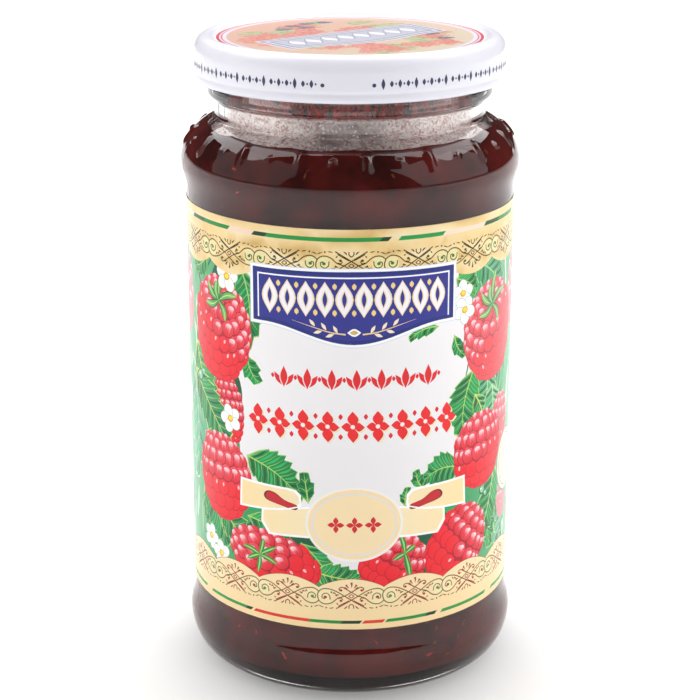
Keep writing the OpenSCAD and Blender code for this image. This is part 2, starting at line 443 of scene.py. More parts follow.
def blend(start, start_ink, end, end_ink):
    """An ink that runs from one colour to another between two places."""
    first, last = np.array(srgb(start_ink)), np.array(srgb(end_ink))
    start, way = np.array(start, float), np.subtract(end, start)

    def ink(places):
        t = np.clip((places - start) @ way / (way @ way), 0, 1)[:, None]
        return first + (last - first) * t
    return ink


def fill(shapes, outline, ink):
    """Adds one shape of the print, over those before it."""
    shapes.append((np.asarray(outline, float), ink))


def crossed(places, outline):
    """Which places an outline goes round, also where the outline crosses itself."""
    (start_x, start_y), (end_x, end_y) = outline.T, np.roll(outline, -1, axis=0).T
    found = []
    for part in np.array_split(places, len(places) * len(outline) // 2000000 + 1):
        x, y = part[:, :1], part[:, 1:]
        left = (end_x - start_x) * (y - start_y) - (end_y - start_y) * (x - start_x)
        upward = (start_y <= y) & (end_y > y) & (left > 0)
        downward = (start_y > y) & (end_y <= y) & (left < 0)
        found.append(upward.sum(axis=1) != downward.sum(axis=1))
    return np.concatenate(found)


def stroke(shapes, points, width, ink, taper="both", steps=4):
    """Adds a smooth pen stroke: tapered at both ends, at its end only, or not at all."""
    line = spline(points, steps=steps)
    way = np.gradient(line, axis=0)
    way /= np.maximum(np.hypot(*way.T), 1e-9)[:, None]
    t = np.linspace(0, 1, len(line))
    half = {"both": np.sin(math.pi * t) ** 0.6, "end": (1 - t) ** 0.7, "none": np.ones_like(t)}[taper]
    aside = np.column_stack([-way[:, 1], way[:, 0]]) * (0.5 * width * np.maximum(half, 0.12))[:, None]
    fill(shapes, np.concatenate([line + aside, (line - aside)[::-1]]), ink)


def split_long(outline, spacing):
    """The same closed outline with no side longer than the spacing."""
    made = []
    for start, end in zip(outline, np.roll(outline, -1, axis=0)):
        pieces = max(1, math.ceil(np.hypot(*(end - start)) / spacing))
        made.append(start + (end - start) * np.arange(pieces)[:, None] / pieces)
    return np.concatenate(made)


def cut_sheet(points, edges, shapes, outline):
    """Triangles of a sheet cut along the edges, and the topmost shape over each (-1 for none)."""
    cut = delaunay_2d_cdt([Vector(p) for p in points], edges, [], 0, 1e-5, False)
    places, triangles = np.array([tuple(p) for p in cut[0]]), np.array(cut[2])
    middles = places[triangles].mean(axis=1)
    kept = crossed(middles, outline)
    triangles, middles = triangles[kept], middles[kept]
    by_x = np.argsort(middles[:, 0])
    sorted_x = middles[by_x, 0]
    owner = np.full(len(triangles), -1)
    for index, (shape, _) in enumerate(shapes):
        first, last = np.searchsorted(sorted_x, (shape[:, 0].min(), shape[:, 0].max()))
        near = by_x[first:last]
        near = near[(middles[near, 1] > shape[:, 1].min()) & (middles[near, 1] < shape[:, 1].max())]
        owner[near[crossed(middles[near], shape)]] = index
    return places, triangles, owner


def printed(shapes, outline, spacing):
    """Cuts a sheet along the outlines of a print that show. Gives points, triangles and colours."""
    outline = split_long(np.asarray(outline, float), spacing)
    (low_x, low_y), (high_x, high_y) = outline.min(axis=0), outline.max(axis=0)
    grid = [(x, y) for i, x in enumerate(np.arange(low_x + spacing / 2, high_x, spacing))
            for y in np.arange(low_y + spacing * (0.4 + 0.5 * (i % 2)), high_y, spacing)]
    points, edges = [], []
    for shape in [outline, *(split_long(shape, spacing) for shape, _ in shapes)]:
        ids = range(len(points), len(points) + len(shape))
        edges.extend(zip(ids, [*ids[1:], ids[0]]))
        points.extend(map(tuple, shape))
    places, triangles, owner = cut_sheet(points, edges, shapes, outline)
    sides = np.concatenate([triangles[:, [0, 1]], triangles[:, [1, 2]], triangles[:, [2, 0]]])
    sides.sort(axis=1)
    owners = np.concatenate([owner] * 3)
    order = np.lexsort((sides[:, 1], sides[:, 0]))
    sides, owners = sides[order], owners[order]
    same = (sides[1:] == sides[:-1]).all(axis=1)
    paired = np.concatenate([same, [False]]) | np.concatenate([[False], same])
    border = np.concatenate([same & (owners[1:] != owners[:-1]), [False]])
    shown = sides[border | ~paired]
    used, compact = np.unique(shown, return_inverse=True)
    points = [*map(tuple, places[used]), *grid]
    places, triangles, owner = cut_sheet(points, compact.reshape(-1, 2).tolist(), shapes, outline)
    colours = np.ones((len(triangles), 3, 3))
    by_owner = np.argsort(owner, kind="stable")
    starts = np.searchsorted(owner[by_owner], np.arange(len(shapes) + 1))
    for (_, ink), first, last in zip(shapes, starts, starts[1:]):
        chosen = by_owner[first:last]
        if len(chosen) and isinstance(ink, str):
            colours[chosen] = srgb(ink)
        elif len(chosen):
            colours[chosen] = ink(places[triangles[chosen]].reshape(-1, 2)).reshape(-1, 3, 3)
    return places, triangles, colours


def berry(shapes, centre, half_w, half_l, turn, tilt, light, pitch=3.3, pale=0.0, sepals=True):
    """A berry: rings of drupelets on an egg, seen from the front, with its tip pointing down
    before it's turned. tilt shows the stem end, and light is where the highlights are. pale mixes
    every ink towards a pinkish white, a painted sheen."""
    # Painted sheen: pale mixes all of the berry's inks towards this pinkish white.
    white = np.array(srgb("#FBDDE2"))

    def tinted(code):
        colour = np.array(srgb(code))
        mixed = colour + (white - colour) * pale
        return lambda places: np.repeat(mixed[None], len(places), axis=0)

    def shade(start, start_ink, end, end_ink):
        plain = blend(start, start_ink, end, end_ink)
        return lambda places: plain(places) + (white - plain(places)) * pale

    fill(shapes, oval(centre, half_w * 0.93, half_l * 0.93, turn, 28), tinted("#B5122C"))

    # Where the drupelets are, from the far ones to the near ones.
    rows = max(4, round(math.pi * half_l / pitch * 0.78))
    found = []
    ct, st = math.cos(math.radians(tilt)), math.sin(math.radians(tilt))
    for row in range(rows):
        along = math.pi * (row + 0.5) / rows
        ring = math.sin(along) ** 0.8
        count = max(1, round(2 * math.pi * half_w * ring / pitch))
        for i in range(count):
            around = 2 * math.pi * (i + 0.5 * (row % 2)) / count + dice.uniform(-0.06, 0.06)
            x, y, z = ring * math.sin(around), math.cos(along), ring * math.cos(around)
            y, z = y * ct - z * st, y * st + z * ct
            if z > -0.02:
                found.append((z, x, y))
    for depth, x, y in sorted(found):
        place = rotated([(x * half_w * 0.86, y * half_l * 0.88)], turn, centre)[0]
        size = pitch * (0.62 + dice.uniform(-0.03, 0.05))
        lean = math.degrees(math.atan2(y, x))
        flat = max(0.5, max(depth, 0) ** 0.5)
        lit = x * light[0] + y * light[1] + 0.25 * depth
        up = np.array(rotated([(light[0] * 0.6, light[1])], turn)[0])
        up /= np.hypot(*up)
        rim_ink = tinted("#A90F2A" if lit > 0.1 else "#CF1428")
        fill(shapes, oval(place, size * flat, size, lean + turn, 10), rim_ink)
        body = oval(place + up * 0.1, (size - 0.2) * flat, size - 0.2, lean + turn, 10)
        top, foot = place + up * size, place - up * size
        if lit > 0.15:
            fill(shapes, body, shade(top, "#F0505E", foot, "#DE0E20"))
            aside, glow = np.array([up[1], -up[0]]), place + up * size * 0.36
            for j in (-1, 0, 1):
                root = glow + aside * (j * size * 0.3 * flat)
                tip = root - up * size * dice.uniform(0.5, 0.95) * min(1, 0.5 + lit)
                stroke(shapes, [root, (root + tip) / 2, tip], size * 0.3,
                       shade(root, "#F7949F", tip, "#E93C4C"), "end", 2)
            glow_turn = lean + turn if flat < 0.7 else 0
            fill(shapes, oval(glow, size * 0.46 * flat, size * 0.26, glow_turn, 10),
                 shade(glow + up * size * 0.2, "#FCE0E4", glow - up * size * 0.3, "#F4808D"))
        else:
            fill(shapes, body, shade(top, "#F22A36", foot, "#EE1524"))
            if lit > -0.35 and dice.random() < 0.5:
                root = place + up * size * 0.6
                stroke(shapes, [root, root - up * size * 0.5], size * 0.3, tinted("#FBC4CA"), "both", 3)
    # The green star at the stem end.
    if sepals:
        heart = rotated([(0, half_l * 0.86 * st * 0.98)], turn, centre)[0]
        for reach, way in ((7.0, 75), (5.2, 140), (6.0, 20), (4.6, -60), (5.0, 196), (4.2, 100)):
            step = np.array([math.cos(math.radians(way + turn)), math.sin(math.radians(way + turn))])
            aside = np.array([-step[1], step[0]])
            tip = heart + step * reach * half_w / 10.5
            bend = (heart + tip) / 2 + aside * 0.7
            stroke(shapes, [heart, bend, tip], 1.9, tinted("#0C4A2B"), "both", 5)
            stroke(shapes, [heart, bend, tip], 1.4, shade(heart, "#0E8A42", tip, "#8ED16A"), "both", 5)
            stroke(shapes, [heart, bend, tip], 0.25, tinted("#C4E58C"), "both", 5)


def leaf(shapes, foot, tip, half, teeth=7, dark="#07723A", bright="#12A050", edge="#A5D36C", bend=0.1,
         veins=("#0A5C34", "#35B863")):
    """A toothed leaf from its foot to its tip, with a light edge, two halves and veins."""
    foot, tip = np.array(foot, float), np.array(tip, float)
    way = tip - foot
    length = np.hypot(*way)
    way /= length
    aside = np.array([-way[1], way[0]])

    def place(t, off):
        return foot + way * (t * length) + aside * (off + bend * length * math.sin(math.pi * t))

    def width(t):
        return half * math.sin(math.pi * min(1, max(0, t)) ** 0.75) ** 0.8

    sides = []
    for side in (1, -1):
        line = []
        for i in range(teeth):
            t = i / teeth
            line.append(place(t, side * width(t) * 0.84))
            line.append(place(t + 0.92 / teeth, side * (width(t + 0.5 / teeth) * 1.0 + 0.07 * half)))
        sides.append(line)
    rib = [place(t, 0) for t in np.linspace(0, 1, 6)]
    fill(shapes, [*sides[0], tip, *sides[1][::-1]], edge)
    for line, inks in zip(sides, ((bright, dark), (dark, bright))):
        inner = [place(0.02, 0)] + [p + (place(0.5, 0) - p) * 0.045 for p in line] + [tip - way * 0.2]
        fill(shapes, inner + rib[::-1][1:-1], blend(foot, inks[0], tip, inks[1]))
    for side in (1, -1):
        for i in range(teeth * 2):
            t = (i + 0.5) / (teeth * 2) * 0.86
            end = place(t + 0.14, side * width(t + 0.12) * 0.9)
            start = place(t, 0)
            middle = (start + end) / 2 + way * 0.3
            ink = veins[dice.randrange(2)] if i % 2 else edge
            line_w, taper = (0.5, "both") if i % 2 else (0.15, "end")
            stroke(shapes, [start, middle, end], line_w, ink, taper, 2)
    stroke(shapes, rib, 0.4, edge, "end", 2)


def streaks(shapes, low, high, count, inks, lean=6.0, length=(6, 16), width=(0.3, 1.1)):
    """Loose upright brush strokes, as of grass and leaves out of focus."""
    for _ in range(count):
        x, y = dice.uniform(low[0], high[0]), dice.uniform(low[1], high[1])
        reach, turn = dice.uniform(*length) / 2, math.radians(90 + dice.gauss(0, lean))
        way = np.array([math.cos(turn), math.sin(turn)]) * reach
        start, end = np.array([x, y]) - way, np.array([x, y]) + way
        middle = (start + end) / 2 + (dice.uniform(-0.8, 0.8), 0)
        stroke(shapes, [start, middle, end], dice.uniform(*width), dice.choice(inks), "both", 3)


def stem_star(shapes, heart, tips):
    """The green star at the stem end of a berry that lies on its side."""
    for tip in tips:
        for width, ink in ((1.3, "#1C8C44"), (0.4, "#A9D86E")):
            stroke(shapes, [heart, np.add(heart, tip) / 2 + 0.2, tip], width, ink, "both", 4)


def flower(shapes, centre, size, turn=0):
    """A white five-petalled blossom with a yellow heart."""
    for i in range(5):
        way = math.radians(turn + 72 * i)
        place = np.array(centre) + (math.cos(way) * size * 0.55, math.sin(way) * size * 0.55)
        fill(shapes, oval(place, size * 0.56, size * 0.47, math.degrees(way), 12), "#9DB89A")
        fill(shapes, oval(place, size * 0.52, size * 0.43, math.degrees(way), 12), "#FFFFFF")
    fill(shapes, oval(centre, size * 0.3, size * 0.27, 0, 10), "#E2A81C")
    fill(shapes, oval(np.array(centre) + 0.08, size * 0.21, size * 0.18, 0, 8), "#F9E04A")


# Leaf inks: the shaded half, the lit half and the edge.
fresh = ("#0E7A46", "#2FA45C", "#A9D88A")
spring = ("#0E7A46", "#3AAE5A", "#CDE07A")
deep = ("#0A6F3A", "#2FA45C", "#A5D36C")
dark = ("#0A6F3A", "#12904A", "#A5D36C")
pale = ("#2F9E62", "#5FB57E", "#C4E4B0")
faded = ("#3F9F72", "#7FC39B", "#BFE2C4")

art = []
fill(art, [(-sheet_half, sheet_low), (sheet_half, sheet_low), (sheet_half, sheet_high),
           (-sheet_half, sheet_high)], blend((0, 100), "#F6F4F5", (0, 30), "#EDEAEC"))
for side in (-1, 1):
    # The soft green behind the fruit, and the long leaves in it.
    inner = spline([(side * u, z) for u, z in ((26, 101), (25, 92), (29, 80), (30, 70), (27, 62),
                                              (25, 50), (15, 40), (4, 32), (0, 26))], steps=4)
    fill(art, [*inner, (side * 84, 26), (side * 84, 101)],
         blend((side * 26, 0), "#2E9E5C", (side * 60, 0), "#8CC9A2"))
    for u, count in ((53, 44), (75, 26)):
        streaks(art, (side * u - 11, 30), (side * u + 11, 96), count,
                ("#0F8A49", "#BFE3C6", "#5FB57E", "#E3F1DC", "#2F9E5C"), width=(0.8, 2.4))
    streaks(art, (side * 36 - 8, 29), (side * 36 + 8, 100), 60,
            ("#0B7C3E", "#39AE62", "#A9DA86", "#0A5C34"), 16, (4, 10), (0.3, 0.9))

# Fruit, leaves and blossom on the left, from the back to the front, over the dark gaps between.
for place, across, up in (((-16, 35), 11, 7), ((-30, 69), 4.5, 7), ((-29, 91), 7, 9)):
    fill(art, oval(place, across, up, 0, 24), "#0C5B38")
# Berries near the label's left and right edges are mixed towards white by pale: painted sheen.
berry(art, (-54, 88), 8.5, 11, 8, 20, (0.6, 0.8), 4.0, 0.3, False)
leaf(art, (-64, 70), (-52, 80), 4.4, 6, *pale, 0.1)
leaf(art, (-70, 44), (-58, 46), 4.0, 6, *fresh, 0.1)
leaf(art, (-73, 68), (-78, 50), 4.4, 6, *spring, -0.08)
berry(art, (-66, 56), 9.5, 11.5, -12, 24, (0.5, 0.8), 4.8)
leaf(art, (-72, 90), (-80, 78), 4.2, 6, *fresh, 0.1)
berry(art, (-69, 82), 8.5, 10.5, 14, 24, (0.5, 0.8), 4.8)
leaf(art, (-64, 44), (-80, 38), 4.4, 6, *fresh, 0.1)
berry(art, (-65, 34), 11.5, 8.0, 0, 20, (0.2, 0.9), 4.8, 0.0, False)
berry(art, (-41.5, 62), 4.5, 6.5, 10, 10, (0.2, 0.9), 2.4, 0.1, False)
berry(art, (-30.2, 65.2), 5.3, 8.6, 6, 0, (0.3, 0.5), 2.1, 0.0, False)
leaf(art, (-48, 74), (-46, 44), 5.5, 7, *faded)
leaf(art, (-25.5, 99), (-24.2, 80), 4.0, 6, "#0E7A3E", "#1F9A50")
leaf(art, (-37, 99), (-44, 95), 3.0, 4)
leaf(art, (-24, 79), (-20.8, 73), 2.6, 3, bend=-0.1)
leaf(art, (-44, 78), (-32, 60), 5.0, 8, "#0E7A3E", "#3AAE5A", "#D8E36C", -0.06)
leaf(art, (-45, 71), (-28.6, 55.2), 5.2, 8, "#0E7A46", "#2FA45C", "#CDE07A", 0.02)
leaf(art, (-39.5, 46), (-37, 29.5), 4.4, 7, "#0A6F3A", "#2FA45C", "#A9D88A", 0.05)
leaf(art, (-41, 45), (-31, 32), 5.0, 7, *fresh, 0.08)
leaf(art, (-34, 43), (-20, 33.5), 4.2, 7, "#0B6E3E", "#2FA45C", "#CDE07A", -0.08)
leaf(art, (-24.5, 55.8), (-10.5, 47.5), 4.9, 8, "#0A6F3A", "#18A052", "#A5D36C", 0.1)
leaf(art, (-9.2, 47), (-10.2, 54.3), 2.0, 3, *dark, 0.0)
leaf(art, (-24.5, 41.5), (-13, 36.5), 3.0, 5, *deep)
leaf(art, (-11, 37.5), (-4, 26.5), 2.6, 5, *deep)
leaf(art, (-8, 31), (3.5, 29.5), 3.4, 6, "#0A6F3A", "#2FA45C", "#BBD96A", -0.05)
berry(art, (-33.0, 83.2), 11.0, 12.3, -2, 38, (0.5, 0.75), 3.4)
berry(art, (-32.7, 48.8), 10.0, 10.6, 4, 6, (0.15, 0.95), 3.4, 0.0, False)
berry(art, (-18.3, 32.4), 6.8, 12.4, 78, 14, (0.55, 0.5), 3.4, 0.0, False)
stem_star(art, (-21.2, 33), ((-26.0, 34.2), (-24.8, 31.2), (-17.0, 35.4), (-16.8, 31.4),
                             (-21.8, 28.6), (-20.2, 37)))
for place, size, turn in (((-29.8, 95.6), 3.3, 10), ((-29.4, 63.2), 3.1, 40), ((-37.9, 32.6), 2.9, 0),
                          ((-33.6, 29.7), 3.0, 30), ((-58, 70), 3.4, 12), ((-60, 98), 3.0, 50)):
    flower(art, place, size, turn)

# Fruit, leaves and blossom on the right, over the dark gaps between the low fruit.
fill(art, oval((19, 35), 12, 8, 0, 24), "#0C5B38")
# As on the left, the berries near the edge are mixed towards white by pale: painted sheen.
berry(art, (55, 89), 8.5, 11, -8, 20, (-0.6, 0.8), 4.0, 0.3, False)
leaf(art, (64, 72), (52, 82), 4.4, 6, *pale, -0.1)
leaf(art, (70, 46), (56, 44), 4.0, 6, *fresh, -0.1)
leaf(art, (73, 70), (79, 52), 4.4, 6, *spring, 0.08)
berry(art, (66, 60), 9.5, 11.5, 12, 24, (-0.5, 0.8), 4.8)
leaf(art, (70, 92), (58, 82), 4.2, 6, *fresh, -0.1)
berry(art, (72, 84), 8.5, 10.5, -14, 24, (-0.5, 0.8), 4.8)
leaf(art, (64, 46), (80, 40), 4.4, 6, *fresh, -0.1)
berry(art, (63, 36), 11.5, 8.0, 0, 20, (-0.2, 0.9), 4.8, 0.0, False)
leaf(art, (30, 99), (43, 89), 4.6, 7, "#2F8F5C", "#5FB57E", "#A9D8A0", 0.08)
leaf(art, (24.5, 96), (31, 92), 3.0, 5, "#0E7A3E", "#1F9A50")
leaf(art, (24.2, 83.5), (27.6, 78), 1.8, 3, *dark, -0.1)
leaf(art, (20.0, 86.2), (12.8, 84.0), 1.7, 4, "#0A7A40", "#23A352", bend=-0.12)
leaf(art, (36.0, 74.5), (33.5, 60.0), 4.6, 7, *pale, 0.06)
leaf(art, (30.5, 74.5), (27.6, 57.5), 4.8, 8, "#0B7A40", "#23A352", "#A9D86E", -0.1)
leaf(art, (31.0, 68.5), (35.0, 57.0), 3.0, 6, "#0A6F3A", "#2FA45C", "#C8E06C", 0.1)
leaf(art, (38, 69), (37, 58), 4.2, 6, "#2F9E62", "#7FC78E", "#C4E4B0")
berry(art, (42.6, 58.5), 5.4, 7.5, -6, 5, (-0.1, 0.95), 2.6, 0.15, False)
leaf(art, (36.5, 46), (38.5, 29.5), 4.6, 7, "#0A6F3A", "#2FA45C", "#A9D86E", -0.05)
leaf(art, (40, 50), (32.5, 31), 4.6, 8, "#0B7A40", "#35AC58", "#C8E8A8", 0.05)
leaf(art, (47, 47), (41.5, 29), 4.0, 7, *faded)
berry(art, (45.5, 39.5), 3.6, 5.0, 0, 5, (-0.3, 0.8), 2.2, 0.35, False)
leaf(art, (26.6, 52.6), (16.2, 51.2), 3.9, 6, *deep, -0.14)
leaf(art, (16.5, 49.6), (14.8, 54.2), 1.6, 3, *dark)
leaf(art, (12.6, 45.6), (13.0, 50.5), 1.4, 3, *dark)
berry(art, (33.6, 55.0), 9.7, 9.2, 0, 4, (-0.2, 0.95), 3.4, 0.0, False)
berry(art, (37.8, 81.8), 11.6, 12.0, 4, 36, (-0.5, 0.75), 3.4, 0.08)
berry(art, (26.6, 34.0), 9.2, 10.4, -42, 6, (0.5, 0.85), 3.4, 0.0, False)
berry(art, (9.6, 32.4), 8.3, 8.3, -30, 14, (0.1, 0.95), 2.9, 0.0, False)
stem_star(art, (12.4, 34.8), ((11.2, 39.5), (12.8, 30.6), (9.6, 33.4), (14.8, 36.4), (13.8, 27.2)))
for place, size, turn in (((26.6, 92.4), 2.9, 20), ((27.2, 88.6), 3.0, 55), ((57, 72), 3.4, 12),
                          ((60, 100), 3.0, 50)):
    flower(art, place, size, turn)

# Drops of water on the leaves, and a bare ringed oval at the right end of the fruit.
for place, size in (((-42, 70), 1.3), ((-40.2, 71.2), 0.8), ((34.4, 44.8), 1.0), ((35.8, 43.6), 0.7)):
    fill(art, oval(place, size, size * 1.1), "#0C6B3C")
    fill(art, oval(np.add(place, 0.12), size * 0.8, size * 0.86), "#8FD0A6")
    fill(art, oval(np.add(place, (-0.3, 0.35)), size * 0.25, size * 0.3, 0, 8), "#FFFFFF")
for across, up, ink in ((6.6, 7.8, "#8C9BA0"), (6.1, 7.3, "#F4EBCB"), (5.2, 6.4, "#A9B4AE"),
                        (4.9, 6.1, "#F7EFD2")):
    fill(art, oval((48, 48), across, up, 0, 32), ink)

# The plain cream field at the back, with a gold frame.
for grow, ink in ((0.0, "#C99A4A"), (0.7, "#F3E6C8"), (2.0, "#D2A854"), (2.5, "#F1E3C4")):
    for side in (-1, 1):
        low_z, high_z, near = 33 + grow, 93 - grow, 84 + grow
        round_off = (0, 0.5, 1.05, 1.57)
        corners = [(side * (near + 3 * (1 - math.cos(t))), z + way * 3 * (1 - math.sin(t)))
                   for z, way, turns in ((low_z, 1, round_off[::-1]), (high_z, -1, round_off))
                   for t in turns]
        fill(art, [(side * (sheet_half + 1), low_z), *corners, (side * (sheet_half + 1), high_z)], ink)

# A sprig stands in it, over the sheet's end, between rows of small gold lozenges.
for side in (-1, 1):
    back_u = side * (sheet_half - 0.5 * lap)
    for z in (87.0, 39.0):
        for i in range(-6, 7):
            fill(art, pointed((back_u + i * 3.6, z), 0.45, 1.1 if i % 2 else 1.7, 0, 5), "#C79A48")
    for lean in (-1, 1):
        leaf(art, (back_u, 58), (back_u + lean * 15, 68), 4.6, 6, "#0B7A40", "#2FA45C", "#A9D86E",
             lean * 0.08)
        leaf(art, (back_u, 57), (back_u + lean * 14, 50), 4.0, 5, "#0A6F3A", "#23A352", "#A9D86E",
             -lean * 0.08)
    berry(art, (back_u, 61), 8.5, 10.5, 0, 34, (0.4, 0.8), 4.8)

# The gold bands: scalloped along the picture, with dashes of red and green at their outer edges.
scallops, dash_repeat = 16, 77.45
pitch = 2 * math.pi * paper_r / scallops
first = 0.3


def foil_painted_reflections(places):
    """Gold ink with brown and pale patches that are painted reflections, in place of a metal sheen."""
    gold, brown, pale = (np.array(srgb(code)) for code in ("#F3D596", "#CDA35A", "#FAEAC4"))
    made = []
    for x, y in places:
        # Painted reflections: brown where the noise is high, pale where it is low.
        reflection_patch = noise.fractal(Vector((x / 11, y / 3.2, 5)), 0.9, 2.1, 4)
        made.append(gold + (brown - gold) * min(1, max(0, reflection_patch * 1.3 - 0.1))
                    + (pale - gold) * min(1, max(0, -reflection_patch * 1.2)))
    return np.array(made)


plain_gold = blend((0, 29), "#FCE3B4", (0, 17), "#FBDDA6")
# The upper band's gold carries painted reflections, in brown and pale patches.
for valley, peak, outer, ink in ((98.7, 96.4, sheet_high + 1, foil_painted_reflections),
                                 (27.3, 29.5, sheet_low - 1, plain_gold)):
    for i in range(-9, 10):
        x = np.linspace(-0.5, 0.5, 25)
        edge = valley + (peak - valley) * np.cos(math.pi * x) ** 0.8
        scallop = np.column_stack([first + (i + x) * pitch, edge])
        foot = [(first + (i + 0.5) * pitch, outer), (first + (i - 0.5) * pitch, outer)]
        if valley < 60:
            fill(art, [*(scallop + (0, 0.14)), *foot], "#8A3A2A")
        fill(art, [*scallop, *foot], ink)


def scroll(centre, base, flip, near_ink, far_ink, dots, wash):
    """One repeat of the band's pen scrollwork: a fan, a lattice with a diamond, and two rings."""
    for side in (-1, 1):
        def at(points):
            return [(centre + side * x, base + flip * y) for x, y in points]
        fill(art, at(oval((5.9, -0.2), 1.6, 1.7, 0, 16)), wash)
        for petal in ([(0, 3.3), (0, 2.0)], [(1.15, 2.75), (0.5, 1.9)], [(1.55, 2.1), (0.75, 1.75)]):
            if side > 0 or petal[0][0] > 0:
                middle_of = np.add(*petal) / 2 + (0.1, 0)
                stroke(art, at([petal[0], middle_of, petal[1]]), 0.5, near_ink, "end", 3)
        stroke(art, at([(0, 0.95), (1.1, 1.65), (2.0, 2.15), (2.6, 1.95), (2.7, 1.5), (2.3, 1.25)]),
               0.24, near_ink, "none", 3)
        fill(art, at(oval((2.3, 1.4), 0.33, 0.3, 0, 8)), dots[0])
        stroke(art, at([(0, 0.95), (1.5, 0)]), 0.22, near_ink, "none", 2)
        for y in (0.45, -0.45):
            stroke(art, at([(0, y), (0.6, 0)]), 0.2, near_ink, "none", 2)
        stroke(art, at([(-1.5, 0), (0, -0.95), (1.7, -2.0), (3.4, -3.05)]), 0.26, near_ink, "none", 2)
        stroke(art, at([(0.45, -1.05), (1.9, -1.85), (2.9, -2.45)]), 0.2, near_ink, "none", 2)
        stroke(art, at([(1.5, 0), (2.7, 0.75), (4.0, 1.4), (5.7, 1.72), (6.9, 1.3), (7.55, 0.2),
                        (7.2, -1.3), (6.1, -2.0), (4.9, -1.9), (4.0, -1.4), (3.0, -0.5), (1.5, 0)]),
               0.25, far_ink, "none", 2)
        stroke(art, at([(4.7, -0.9), (4.85, 0.1), (5.6, 0.6), (6.4, 0.2), (6.5, -0.55), (5.9, -0.75)]),
               0.23, far_ink, "none", 3)
        fill(art, at(oval((5.8, -0.35), 0.4, 0.36, 0, 9)), dots[1])
        for foot, tip in (((2.7, 0.25), (3.5, 0.1)), ((3.4, 0.35), (4.0, 0.75)), ((4.2, 0.5), (4.6, 0.95))):
            stroke(art, at([tip, np.add(foot, tip) / 2 + (-0.05, 0.12), foot]), 0.45, near_ink, "end", 2)
        stroke(art, at([(2.9, -0.6), (2.2, -0.45), (1.9, -0.95)]), 0.22, near_ink, "none", 3)
        fill(art, at(oval((2.3, -1.1), 0.34, 0.3, 0, 8)), dots[0])
        stroke(art, at([(3.3, -1.7), (2.9, -2.1)]), 0.35, near_ink, "both", 2)
        stroke(art, at([(0, -1.9), (0.5, -2.35), (0.5, -3.0)]), 0.24, near_ink, "none", 3)
        stroke(art, at([(0.9, -2.3), (1.2, -2.75), (1.7, -3.05)]), 0.3, near_ink, "both", 2)
        stroke(art, at([(3.9, -2.75), (4.4, -2.95), (5.0, -3.0)]), 0.25, far_ink, "both", 2)
        fill(art, at(oval((5.6, -2.9), 0.22, 0.22, 0, 6)), far_ink)
        stroke(art, at([(6.1, -2.8), (6.7, -2.65), (7.3, -2.35)]), 0.25, far_ink, "both", 2)


for i in range(-8, 9):
    middle = first + i * pitch
    scroll(middle, 25.4, 1, "#8C4030", "#6B6030", ("#B03428", "#4C8A3A" if i % 2 else "#A33C2C"), "#FAE7B6")
    scroll(middle, 101.0, -1, "#3A3018", "#4A451E", ("#3C4A1C", "#2E7D32"), "#F0E2A6")

for z, height, dashes in (
        (106.6, 0.9, ((-38.5, -29.2, "#1B8A3C"), (-29.2, -22.3, "#F7D9C6"), (-22.3, -19, "#17402A"),
                      (-19, 6.2, "#1F9440"), (6.2, 8.1, "#17402A"), (10.2, 20.7, "#249A48"),
                      (20.7, 33.1, "#FAE0CE"), (33.1, 39.4, "#1A5A34"))),
        (19.1, 0.75, ((-38.3, -25.6, "#2C9A4A"), (-25.6, -23.9, "#17402A"), (-23.2, -9.5, "#DE3B2E"),
                      (-9.5, -2.2, "#1F8E40"), (-2.2, 2.1, "#17402A"), (2.6, 7.3, "#E0402E"),
                      (7.8, 17.4, "#209043"), (17.4, 19.9, "#17402A"), (21.4, 36.3, "#2A9A48")))):
    for turn in (-1, 0, 1):
        for start, end, ink in dashes:
            start, end = start + turn * dash_repeat, end + turn * dash_repeat
            slant = height * 0.9
            fill(art, [(start, z - height / 2), (end, z - height / 2), (end + slant, z + height / 2),
                       (start + slant, z + height / 2)], ink)

# The blue plaque, with a frieze of white petals in place of a name.
plaque_u, plaque_left, plaque_right, petal_pitch = 0.9, -22.0, 23.8, 4.15


def plaque(grow):
    """The plaque's outline, grown or shrunk: straight sides and a foot that dips in the middle."""
    left, right, top = plaque_left - grow, plaque_right + grow, 99.4 + grow
    x = np.linspace(right, left, 29)
    off = np.clip((x - plaque_u) / 20, -1, 1)
    foot = 87.6 - 4.0 * (0.5 + 0.5 * np.cos(math.pi * off)) - grow
    head = [(left, top), ((left + right) / 2, top + 0.25), (right, top)]
    return [*head, *np.column_stack([x, foot])]


for grow, ink in ((0.75, "#DDE6F4"), (0.55, "#FFFFFF"), (0.0, "#232E7E"), (-0.85, "#30348F")):
    fill(art, plaque(grow), ink)
inset, line_w = 1.35, 0.32
line_left, line_right, line_top = plaque_left + inset, plaque_right - inset, 98.1
stroke(art, [(line_left, 88.4), (line_left, 92), (line_left, line_top)], line_w, "#FFFFFF", "none", 1)
stroke(art, [(line_left - 0.15, line_top), (plaque_u, 98.3), (line_right + 0.15, line_top)],
       line_w, "#FFFFFF", "none", 6)
stroke(art, [(line_right, line_top), (line_right, 92), (line_right, 88.4)], line_w, "#FFFFFF", "none", 1)
for i in range(10):
    x = plaque_u + (i - 4.5) * petal_pitch
    for across, up, ink in ((1.95, 3.95, "#F6DFB0"), (1.65, 3.6, "#FAF6FB"), (0.75, 2.2, "#F6DFB0"),
                            (0.5, 1.8, "#30348F")):
        fill(art, pointed((x, 93.5), across, up, 0, 8), ink)
for i in range(9):
    x = plaque_u + (i - 4) * petal_pitch
    for z in (96.4, 90.6):
        fill(art, pointed((x, z), 0.55, 0.75, 0, 3), "#F3D489")
